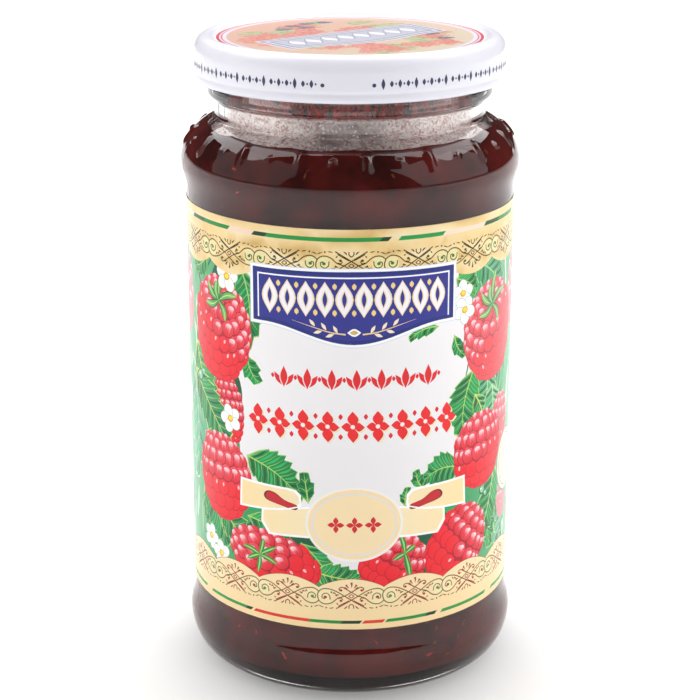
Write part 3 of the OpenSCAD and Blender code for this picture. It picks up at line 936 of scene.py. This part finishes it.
for side in (-1, 1):
    spray = [(plaque_u + side * x, z)
             for x, z in ((1.8, 85.9), (5.0, 86.3), (9.0, 87.4), (13.5, 88.6))]
    stroke(art, spray, 0.35, "#F3D489", "end", 4)
    for x, z, turn in ((4.0, 87.0, 60), (6.5, 87.6, 55), (9.0, 88.3, 50), (5.2, 85.6, -20),
                       (7.8, 86.3, -15)):
        fill(art, pointed((plaque_u + side * x, z), 0.38, 1.0, side * (turn - 90), 4), "#F9E9C8")
fill(art, pointed((plaque_u, 86.3), 0.9, 1.5, 90, 5), "#FFFFFF")
fill(art, pointed((plaque_u, 86.3), 0.5, 1.0, 90, 5), "#D9B56C")

# Two rows of red ornaments, in place of lettering.
for i in range(7):
    x = 1.45 + (i - 3) * 5.35
    for side in (-1, 1):
        fill(art, pointed((x + side * 1.35, 75.1), 0.62, 1.75, -side * 34, 6), "#E3242A")
        fill(art, pointed((x + side * 2.67, 75.7), 0.42, 0.6, 0, 4), "#E3242A")
    fill(art, pointed((x, 75.6), 1.05, 2.65, 0, 7), "#F4F1F2")
    fill(art, pointed((x, 75.7), 0.85, 2.4, 0, 7), "#E3242A")
for i in range(9):
    x = 0.7 + (i - 4) * 5.45
    for shift, ink in ((0.35, "#F8E4C2"), (0.0, "#C41A22"), (-0.14, "#F0262A")):
        spot = (x + shift, 65.0 - shift)
        for way in (1, -1):
            fill(art, pointed((spot[0], spot[1] + way * 1.75), 1.15, 1.75, 0, 6), ink)
        for way in (1, -1):
            fill(art, pointed((spot[0] + way * 1.25, spot[1]), 0.95, 1.25, 90, 6), ink)
    fill(art, oval((x - 0.1, 65.1), 0.5, 0.5, 0, 10), "#F6EFEA")
for i in range(8):
    x = 0.7 + (i - 3.5) * 5.45
    for z in (67.4, 62.8):
        fill(art, pointed((x, z), 0.5, 0.7, 0, 4), "#E3242A")

# The seal on its folded ribbon, both left bare.


def on_ribbon(points, side, about=0.85):
    """Points drawn for the right half of the ribbon, mirrored for the left half."""
    return [(about + side * (x - about), z) for x, z in points]


for side in (-1, 1):
    upper = [(27.6, 49.8), (16.0, 49.6), (14.2, 49.3), (13.1, 48.2), (13.0, 46.8), (13.8, 45.7),
             (20.5, 44.6), (27.9, 44.0)]
    lower = [(21.7, 43.9), (9.0, 46.1), (9.0, 39.4), (20.0, 38.9), (21.9, 41.6)]
    fold = spline([(21.2, 47.6), (20.6, 46.6), (17.6, 45.9), (14.3, 45.3), (14.0, 46.3), (16.6, 47.1),
                   (18.6, 48.3), (20.3, 48.5)], True, 4)
    for points, grow in ((upper, 0.5), (lower, 0.5), (upper, 0), (lower, 0)):
        centre = np.mean(points, axis=0)
        away = np.sign(np.array(points) - centre) * grow
        cream = blend((0.85 + side * 10, 42), "#FCE9BE", (0.85 + side * 27, 47), "#FBE0A8")
        ink = "#FFFFFF" if grow else cream
        fill(art, on_ribbon(np.array(points) + away, side), ink)
    fill(art, on_ribbon((fold - fold.mean(axis=0)) * 1.12 + fold.mean(axis=0), side), "#5A1420")
    fill(art, on_ribbon(fold, side), "#C8242E")
    stroke(art, on_ribbon([(13.2, 45.9), (17, 44.8), (21.2, 44.2)], side), 0.3, "#FFFFFF", "none", 3)
for across, up, ink in ((10.9, 8.8, "#F6F2EA"), (10.3, 8.2, "#FBE0B0"), (9.5, 7.4, "#E6E4E2"),
                        (9.1, 7.0, "#FBE2B4")):
    fill(art, oval((1.0, 42.4), across, up, 0, 48), ink)
for i in (-1, 0, 1):
    for turn in (0, 90, 180, 270):
        way = np.array([math.cos(math.radians(turn)), math.sin(math.radians(turn))])
        petal = np.array([1.0 + i * 4.1, 42.3]) + way * 0.95
        fill(art, pointed(petal, 0.6, 0.95, turn + 90, 5), "#D2222C")

sheet = [(-sheet_half, sheet_low), (sheet_half, sheet_low), (sheet_half, sheet_high),
         (-sheet_half, sheet_high)]
sheet_grid = 3.4
places, triangles, colours = printed(art, sheet, sheet_grid)


def wrapped(places, sunk):
    """Bends the flat sheet round the jar, with its right end raised over its left one."""
    lifted = np.clip((places[:, 0] - sheet_half + lap + 1.2) / 1.2, 0, 1)
    r = paper_r + lap_lift * lifted * lifted * (3 - 2 * lifted) - sunk
    turn = places[:, 0] / paper_r
    return np.column_stack([r * np.sin(turn), -r * np.cos(turn), places[:, 1]])


# The sheet's rim, as one walk round the sides that only one triangle has. It joins front and back.
edges = {}
for a, b, c in triangles.tolist():
    for start, end in ((a, b), (b, c), (c, a)):
        if (end, start) in edges:
            del edges[(end, start)]
        else:
            edges[(start, end)] = True
next_of = dict(edges.keys())
walk = [next(iter(next_of))]
while next_of[walk[-1]] != walk[0]:
    walk.append(next_of[walk[-1]])
back_places, back_triangles, _ = printed([], places[walk], 6)
front, back = wrapped(places, 0), wrapped(back_places, paper_t - paste_t)
matching = {(round(x, 4), round(y, 4)): i for i, (x, y) in enumerate(back_places)}
inner_of = {i: len(front) + matching[(round(places[i][0], 4), round(places[i][1], 4))] for i in walk}
faces = [list(t) for t in triangles.tolist()]
faces += [[a + len(front) for a in reversed(t)] for t in back_triangles.tolist()]
faces += [[b, a, inner_of[a], inner_of[b]] for a, b in zip(walk, walk[1:] + walk[:1])]

# Gloss-coated paper, offset-printed: clean flat inks under an even satin sheen. The fibres ripple
# the sheen, drawn at half a millimetre, which is coarser than they are, so that they show.
coated_paper = new_material("offset_print_on_coated_paper")
print_ink = add_node(coated_paper, "Attribute", attribute_name="ink")
paper_place = add_node(coated_paper, "TexCoord")
paper_fibre = add_node(coated_paper, "TexNoise", {
    "Vector": paper_place.outputs["Object"], "Scale": 1800.0, "Detail": 3.0, "Roughness": 0.6})
paper_sheen = add_node(coated_paper, "MapRange", {
    "Value": paper_fibre.outputs[0], "To Min": 0.16, "To Max": 0.32})
paper_relief = add_node(coated_paper, "Bump", {
    "Height": paper_fibre.outputs[0], "Strength": 0.06, "Distance": 0.00005})
coated = add_node(coated_paper, "BsdfPrincipled", {
    "Base Color": print_ink.outputs["Color"], "Roughness": paper_sheen.outputs[0], "IOR": 1.45,
    "Specular IOR Level": 0.4, "Normal": paper_relief.outputs[0]})
add_node(coated_paper, "OutputMaterial", {"Surface": coated.outputs[0]})

label = add_mesh("label_printed", np.concatenate([front, back]), faces, [coated_paper])
ink_layer = label.data.color_attributes.new("ink", "FLOAT_COLOR", "CORNER")
corner_colours = np.full((len(label.data.loops), 4), 1.0)
corner_colours[:, :3] = srgb("#E4DFD6")
corner_colours[:3 * len(triangles), :3] = colours.reshape(-1, 3)
ink_layer.data.foreach_set("color", corner_colours.astype(np.float32).ravel())
turns = places[:, 0] / paper_r
outward = np.column_stack([np.sin(turns), -np.cos(turns), np.zeros(len(turns))])
inward = np.column_stack([-np.sin(back_places[:, 0] / paper_r), np.cos(back_places[:, 0] / paper_r),
                          np.zeros(len(back_places))])
label.data.normals_split_custom_set_from_vertices(np.concatenate([outward, inward]).tolist())
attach(label, "root")
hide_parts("label")

# ---------------------------------------------------------------------------------------------
# The lid. Pressed tinplate, lacquered white, with a rolled curl at its foot, a rounded edge and a
# centre panel that sits a little lower. Its picture is printed flat before the lid is pressed.
# ---------------------------------------------------------------------------------------------

lid_low, lid_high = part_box("lid")
skirt_r, lid_z, lid_top = lid_high.x * millimetres, lid_low.z * millimetres, lid_high.z * millimetres
panel_z, panel_edge_r, plate_t, curl_r = lid_top - 0.9, 29.9, 0.4, 0.9
edge_r, edge_z = 3.2, 3.6
lid_shape = [
    (0, panel_z), (panel_edge_r, panel_z), (panel_edge_r + 0.5, panel_z + 0.2),
    (panel_edge_r + 1.1, lid_top - 0.1),
    *ellipse((skirt_r - edge_r, lid_top - edge_z), edge_r, edge_z, 88, 0),
    (skirt_r, lid_z + 2.6), (skirt_r - 0.22, lid_z + 2.1), (skirt_r - 0.05, lid_z + 1.5),
    *ellipse((skirt_r - curl_r, lid_z + curl_r), curl_r, curl_r, 0, -200, 12),
    (skirt_r - plate_t - 0.3, lid_z + 2.2), (skirt_r - plate_t, lid_z + 2.8),
    *ellipse((skirt_r - edge_r, lid_top - edge_z), edge_r - plate_t, edge_z - plate_t, 0, 88),
    (panel_edge_r + 0.6, panel_z - plate_t), (0, panel_z - plate_t),
]
lid_outline = softened(even(lid_shape, 0.25), 1)
lid_segments = 192

# White lacquer, rolled on tinplate and baked: a cool white with a soft gloss, broken by a peel
# of about a millimetre.
white_lacquer = new_material("white_lacquer_on_tinplate")
grain_place = add_node(white_lacquer, "TexCoord")
grain = add_node(white_lacquer, "TexNoise", {
    "Vector": grain_place.outputs["Object"], "Scale": 900.0, "Detail": 2.0})
peel = add_node(white_lacquer, "Bump", {
    "Height": grain.outputs[0], "Strength": 0.08, "Distance": 0.0002})
lacquer_bsdf = add_node(white_lacquer, "BsdfPrincipled", {
    "Base Color": srgb("#E9E8F1"), "Roughness": 0.24, "Normal": peel.outputs[0],
    "Specular IOR Level": 0.45})
add_node(white_lacquer, "OutputMaterial", {"Surface": lacquer_bsdf.outputs[0]})
lid = add_mesh("lid_pressed", *turned(lid_outline, lid_segments), [white_lacquer])
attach(lid, "root")
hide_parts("lid")

# The picture on the lid's centre: fruit and leaves in pale inks, a bare plaque across, and a ring.
top_art = []
for radius, ink in ((29.6, "#D24458"), (28.9, "#DEDDE8"), (28.55, "#DE7080"), (28.2, "#DEDDE8")):
    fill(top_art, oval((0, 0), radius, radius, 0, 96), ink)
fill(top_art, oval((0, 0), 27.3, 27.3, 0, 72), blend((-20, 10), "#DDB09E", (22, -12), "#D8C8B0"))
for i in range(90):
    spot, turn = (dice.uniform(-24, 24), dice.uniform(-24, 24)), dice.uniform(0, 6.28)
    if math.hypot(*spot) < 22.5:
        if i % 2:
            tip = np.add(spot, (8 * math.cos(turn), 8 * math.sin(turn)))
            if math.hypot(*tip) < 26.5:
                leaf(top_art, spot, tip, 2.4, 4, "#A9AC84", "#B9BC90", "#CBCBA4", 0.1,
                     ("#9A9E7C", "#C3C49C"))
        else:
            for j in range(14):
                way, out = j * 2.4, 1.0 * math.sqrt(j)
                drop = np.add(spot, (out * math.cos(way), out * math.sin(way)))
                fill(top_art, oval(drop, 1.1, 1.1, 0, 9), "#CF7C70")
                drop_ink = ("#E0958A", "#E2A494", "#DB8A80")[j % 3]
                fill(top_art, oval(drop + 0.12, 0.85, 0.85, 0, 9), drop_ink)
for spot in ((-15, 13), (-12, 17), (-17, 8), (-8, 19), (16, 2), (19, -4), (-12, 11)):
    leaf(top_art, spot, np.add(spot, (4, 1.5)), 1.6, 4, "#5F6476", "#737889", "#8C909F", 0.1,
         ("#5F6476", "#8C909F"))
banner_turn, banner_place = 38, (1, -1)
for grow, ink in ((1.9, "#DEDDE8"), (1.2, "#8E90A2"), (0.5, "#DEDDE8"), (-0.3, "#9799AC"),
                  (-1.0, "#C3C3D0")):
    banner = [(-20 - grow, 5.6 + grow), (20 + grow, 5.6 + grow), (20 + grow, -4.2 - grow)]
    foot = [(x, -4.2 - grow - 3.2 * (0.5 + 0.5 * math.cos(math.pi * x / 20)))
            for x in np.linspace(18, -18, 13)]
    banner += [*foot, (-20 - grow, -4.2 - grow)]
    fill(top_art, rotated(banner, banner_turn, banner_place), ink)
for i in range(8):
    for across, up, ink in ((2.0, 3.4, "#9799AC"), (1.6, 3.0, "#EDEDF4")):
        petal = pointed(((i - 3.5) * 4.4, 0.4), across, up, 0, 6)
        fill(top_art, rotated(petal, banner_turn, banner_place), ink)
disc = oval((0, 0), panel_edge_r - 0.1, panel_edge_r - 0.1, 0, 120)
top_places, top_triangles, top_colours = printed(top_art, disc, 2.5)
ink_t = 0.02
ink_points = [(x, y, panel_z + ink_t) for x, y in top_places]
ink_faces = top_triangles.tolist()
ink_colours = [top_colours.reshape(-1, 3)]

# Small navy dots and lozenges round the skirt, where lettering ran, with a gap at the front.
skirt_run = 2 * math.pi * skirt_r
marks = []
for quarter in range(4):
    start = quarter * skirt_run / 4
    for side in (-1, 1):
        marks.append(oval((start - 0.35 + side * 5.35, lid_z + 4.0), 0.42, 0.42, 0, 14))
    for i in range(23):
        tall = (1.2, 0.7, 0.9, 0.7)[i % 4]
        marks.append(pointed((start + 6.9 + i * 1.8, lid_z + 4.2), 0.4, tall, 0, 6))
        if i % 4:
            marks.append(pointed((start + 7.8 + i * 1.8, lid_z + 4.2), 0.2, 0.3, 0, 4))
for mark in marks:
    first = len(ink_points)
    ink_r = skirt_r + ink_t
    ink_points += [(ink_r * math.sin(u / skirt_r), -ink_r * math.cos(u / skirt_r), z) for u, z in mark]
    ink_faces.append(list(range(first, len(ink_points)))[::-1])
    ink_colours.append(np.tile(srgb("#3A3D5E"), (len(mark), 1)))
# Litho inks printed on the lacquer: dull colours with a slightly uneven sheen.
litho_ink = new_material("litho_ink_on_lacquer")
litho_colour = add_node(litho_ink, "Attribute", attribute_name="ink")
litho_place = add_node(litho_ink, "TexCoord")
litho_grain = add_node(litho_ink, "TexNoise", {
    "Vector": litho_place.outputs["Object"], "Scale": 1400.0, "Detail": 2.0})
litho_sheen = add_node(litho_ink, "MapRange", {
    "Value": litho_grain.outputs[0], "To Min": 0.22, "To Max": 0.4})
litho = add_node(litho_ink, "BsdfPrincipled", {
    "Base Color": litho_colour.outputs["Color"], "Roughness": litho_sheen.outputs[0],
    "Specular IOR Level": 0.45})
add_node(litho_ink, "OutputMaterial", {"Surface": litho.outputs[0]})
lid_ink = add_mesh("lid_print", ink_points, ink_faces, [litho_ink])
lid_layer = lid_ink.data.color_attributes.new("ink", "FLOAT_COLOR", "CORNER")
lid_corners = np.concatenate(ink_colours)
lid_layer.data.foreach_set("color", np.column_stack([lid_corners, np.ones(len(lid_corners))])
                           .astype(np.float32).ravel())
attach(lid_ink, "root")

# ---------------------------------------------------------------------------------------------
# What is left on the inside of the neck: a film of dried syrup, and beads of condensation. The
# filling steamed when the lid went on, so both stand between the jam's surface and the lid.
# ---------------------------------------------------------------------------------------------

film_r, film_high = mouth_r - 0.12, bead_top_z + 1.5
film_line = [*ellipse((shoulder_r, shoulder_z), inner_a - 0.12, inner_b - 0.12, level_sweep, inner_sweep),
             (film_r, neck_z - 0.2), (film_r, film_high)]
film_line = softened(even(film_line, 0.45), 2)

# Syrup dried on glass: dark red blotches where it's thick, beside the bead, and a whitish haze with
# pink specks below it, thicker where it's seen edge-on. The specks are about a millimetre.
syrup_film = new_material("dried_syrup_film")
film_place = add_node(syrup_film, "TexCoord")
film_split = add_node(syrup_film, "SeparateXYZ", {0: film_place.outputs["Object"]})
film_height = add_node(syrup_film, "MapRange", {
    "Value": film_split.outputs["Z"], "From Min": (bead_z - 0.7) / millimetres,
    "From Max": (bead_z + 0.5) / millimetres})
film_spots = add_node(syrup_film, "TexNoise", {
    "Vector": film_place.outputs["Object"], "Scale": 1100.0, "Detail": 5.0, "Roughness": 0.7,
    "Distortion": 1.2})
film_smear = add_node(syrup_film, "TexNoise", {
    "Vector": film_place.outputs["Object"], "Scale": 160.0, "Detail": 4.0, "Roughness": 0.6})
dark_film = add_node(syrup_film, "ValToRGB", {0: film_spots.outputs[0]})
for element, place, code in zip(dark_film.color_ramp.elements, (0.42, 0.6), ("#180505", "#A8281E")):
    element.position, element.color = place, (*srgb(code), 1)
pale_film = add_node(syrup_film, "ValToRGB", {0: film_spots.outputs[0]})
for element, place, code in zip(pale_film.color_ramp.elements, (0.38, 0.54), ("#B86C68", "#FFF3F0")):
    element.position, element.color = place, (*srgb(code), 1)
film_colour = add_node(syrup_film, "Mix", {
    0: film_height.outputs[0], 6: pale_film.outputs[0], 7: dark_film.outputs[0]}, data_type="RGBA")
film_aside = add_node(syrup_film, "Math", {0: film_split.outputs["X"]}, operation="ABSOLUTE")
thick_sides = add_node(syrup_film, "MapRange", {
    "Value": film_aside.outputs[0], "From Min": 0.006, "From Max": 0.02, "To Min": 0.05, "To Max": 0.95})
thin_cover = add_node(syrup_film, "MapRange", {
    "Value": film_smear.outputs[0], "From Min": 0.35, "From Max": 0.65, "To Min": 0.1, "To Max": 0.4})
low_cover = add_node(syrup_film, "Math", {
    0: thin_cover.outputs[0], 1: thick_sides.outputs[0]}, use_clamp=True)
high_cover = add_node(syrup_film, "MapRange", {
    "Value": film_smear.outputs[0], "From Min": 0.35, "From Max": 0.55, "To Min": 0.75, "To Max": 1.0})
film_cover = add_node(syrup_film, "Mix", {
    0: film_height.outputs[0], 2: low_cover.outputs[0], 3: high_cover.outputs[0]}, data_type="FLOAT")
film_bsdf = add_node(syrup_film, "BsdfPrincipled", {
    "Base Color": film_colour.outputs[2], "Roughness": 0.3, "Alpha": film_cover.outputs[0]})
add_node(syrup_film, "OutputMaterial", {"Surface": film_bsdf.outputs[0]})
film_back = film_line[::-1] - (0.06, 0)
film = add_mesh("syrup_film", *turned([*film_line, *film_back, film_line[0]], 160), [syrup_film])
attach(film, "root")

bead_points, bead_faces = [], []
bead_dice = random.Random(3)
bead_count, points_each = 4500, 13
while len(bead_points) < points_each * bead_count:
    azimuth, place = bead_dice.uniform(0, 2 * math.pi), bead_dice.randrange(len(film_line) - 12)
    if bead_dice.random() > 0.1 + 0.9 * abs(math.cos(azimuth)) ** 1.5:
        continue
    size = min(0.42, 0.13 * math.exp(bead_dice.gauss(0.15, 0.45)))
    r0, z = film_line[place] + (-0.06, bead_dice.uniform(-0.2, 0.2))
    centre = np.array([r0 * math.cos(azimuth), r0 * math.sin(azimuth), z])
    inward_way = np.array([-math.cos(azimuth), -math.sin(azimuth), 0])
    aside = np.array([-math.sin(azimuth), math.cos(azimuth), 0])
    first = len(bead_points)
    bead_points.append(centre + inward_way * size * 0.55)
    for ring, (out, rise) in enumerate(((0.62, 0.42), (1.0, -0.1))):
        for i in range(6):
            way = math.pi * (i / 3 + ring / 6)
            bead_points.append(centre + aside * (size * out * math.cos(way)) + inward_way * (size * rise)
                               + np.array([0, 0, size * out * math.sin(way) * 1.1]))
    for i in range(6):
        j = (i + 1) % 6
        bead_faces.append((first, first + 1 + i, first + 1 + j))
        bead_faces.append((first + 1 + i, first + 7 + i, first + 1 + j))
        bead_faces.append((first + 7 + i, first + 7 + j, first + 1 + j))
# Condensed water with a trace of syrup in it: small bright glints, some of them pinkish.
water = new_material("condensed_water")
water_place = add_node(water, "TexCoord")
water_cloud = add_node(water, "TexNoise", {
    "Vector": water_place.outputs["Object"], "Scale": 300.0, "Detail": 2.0})
water_tint = add_node(water, "Mix", {
    0: water_cloud.outputs[0], 6: srgb("#F6CFCB"), 7: srgb("#FFFDFC")}, data_type="RGBA")
water_bsdf = add_node(water, "BsdfPrincipled", {
    "Base Color": water_tint.outputs[2], "Roughness": 0.12, "IOR": 1.33, "Transmission Weight": 0.2})
add_node(water, "OutputMaterial", {"Surface": water_bsdf.outputs[0]})
beads = add_mesh("condensation_beads", bead_points, bead_faces, [water])
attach(beads, "root")

# ---------------------------------------------------------------------------------------------
# The studio. A matt white sweep of paper, soft lamps that leave the front of the shoulder dark, and
# a camera that looks down on the front. The fill lamps don't mirror in the glass.
# ---------------------------------------------------------------------------------------------
floor_white = new_material("studio_floor")
floor_bsdf = add_node(floor_white, "BsdfPrincipled", {
    "Base Color": srgb("#F6F6F6"), "Roughness": 0.6, "Specular IOR Level": 0.2})
add_node(floor_white, "OutputMaterial", {"Surface": floor_bsdf.outputs[0]})
floor_half = 4000
floor = add_mesh("studio_floor", [(x * floor_half, y * floor_half, 0) for x, y in (
    (-1, -1), (1, -1), (1, 1), (-1, 1))], [(0, 1, 2, 3)], [floor_white])

world = bpy.data.worlds.new("studio_white")
bpy.context.scene.world = world
world.use_nodes = True
world.node_tree.nodes["Background"].inputs["Color"].default_value = (1, 1, 1, 1)
world.node_tree.nodes["Background"].inputs["Strength"].default_value = 0.04


def soft_lamp(name, place, size, watts):
    """A rectangular lamp that faces the jar's middle."""
    lamp = bpy.data.lights.new(name, "AREA")
    lamp.shape, lamp.size, lamp.size_y, lamp.energy = "RECTANGLE", size[0], size[1], watts
    holder = bpy.data.objects.new(name, lamp)
    holder.location = place
    holder.rotation_euler = (Vector((0, 0, 0.07)) - Vector(place)).to_track_quat("-Z", "Y").to_euler()
    bpy.context.scene.collection.objects.link(holder)
    return holder


soft_lamp("lamp_left", (-1.16, -0.31, 0.72), (1.6, 1.4), 3.8)
soft_lamp("lamp_right", (1.16, -0.31, 0.72), (1.6, 1.4), 7.5)
soft_lamp("lamp_fill", (0, -1.7, 1.0), (1.6, 1.2), 6.9).visible_glossy = False
soft_lamp("lamp_low_left", (-1.2, -0.35, 0.22), (1.0, 0.4), 3.4).visible_glossy = False
soft_lamp("lamp_low_right", (1.2, -0.35, 0.22), (1.0, 0.4), 1.8).visible_glossy = False
soft_lamp("lamp_top", (0, 1.5, 1.7), (3.6, 3.2), 115)
bpy.data.objects["lamp_top"].rotation_euler = (0, 0, 0)

camera = bpy.data.objects.new("camera", bpy.data.cameras.new("camera"))
camera.data.sensor_width, camera.data.lens = 36, 102.8
camera.location = (0, -0.4418, 0.2107)
camera.rotation_euler = (math.radians(90 - 17.57), 0, 0)
bpy.context.scene.collection.objects.link(camera)
bpy.context.scene.camera = camera
bpy.context.scene.view_settings.view_transform = "Standard"
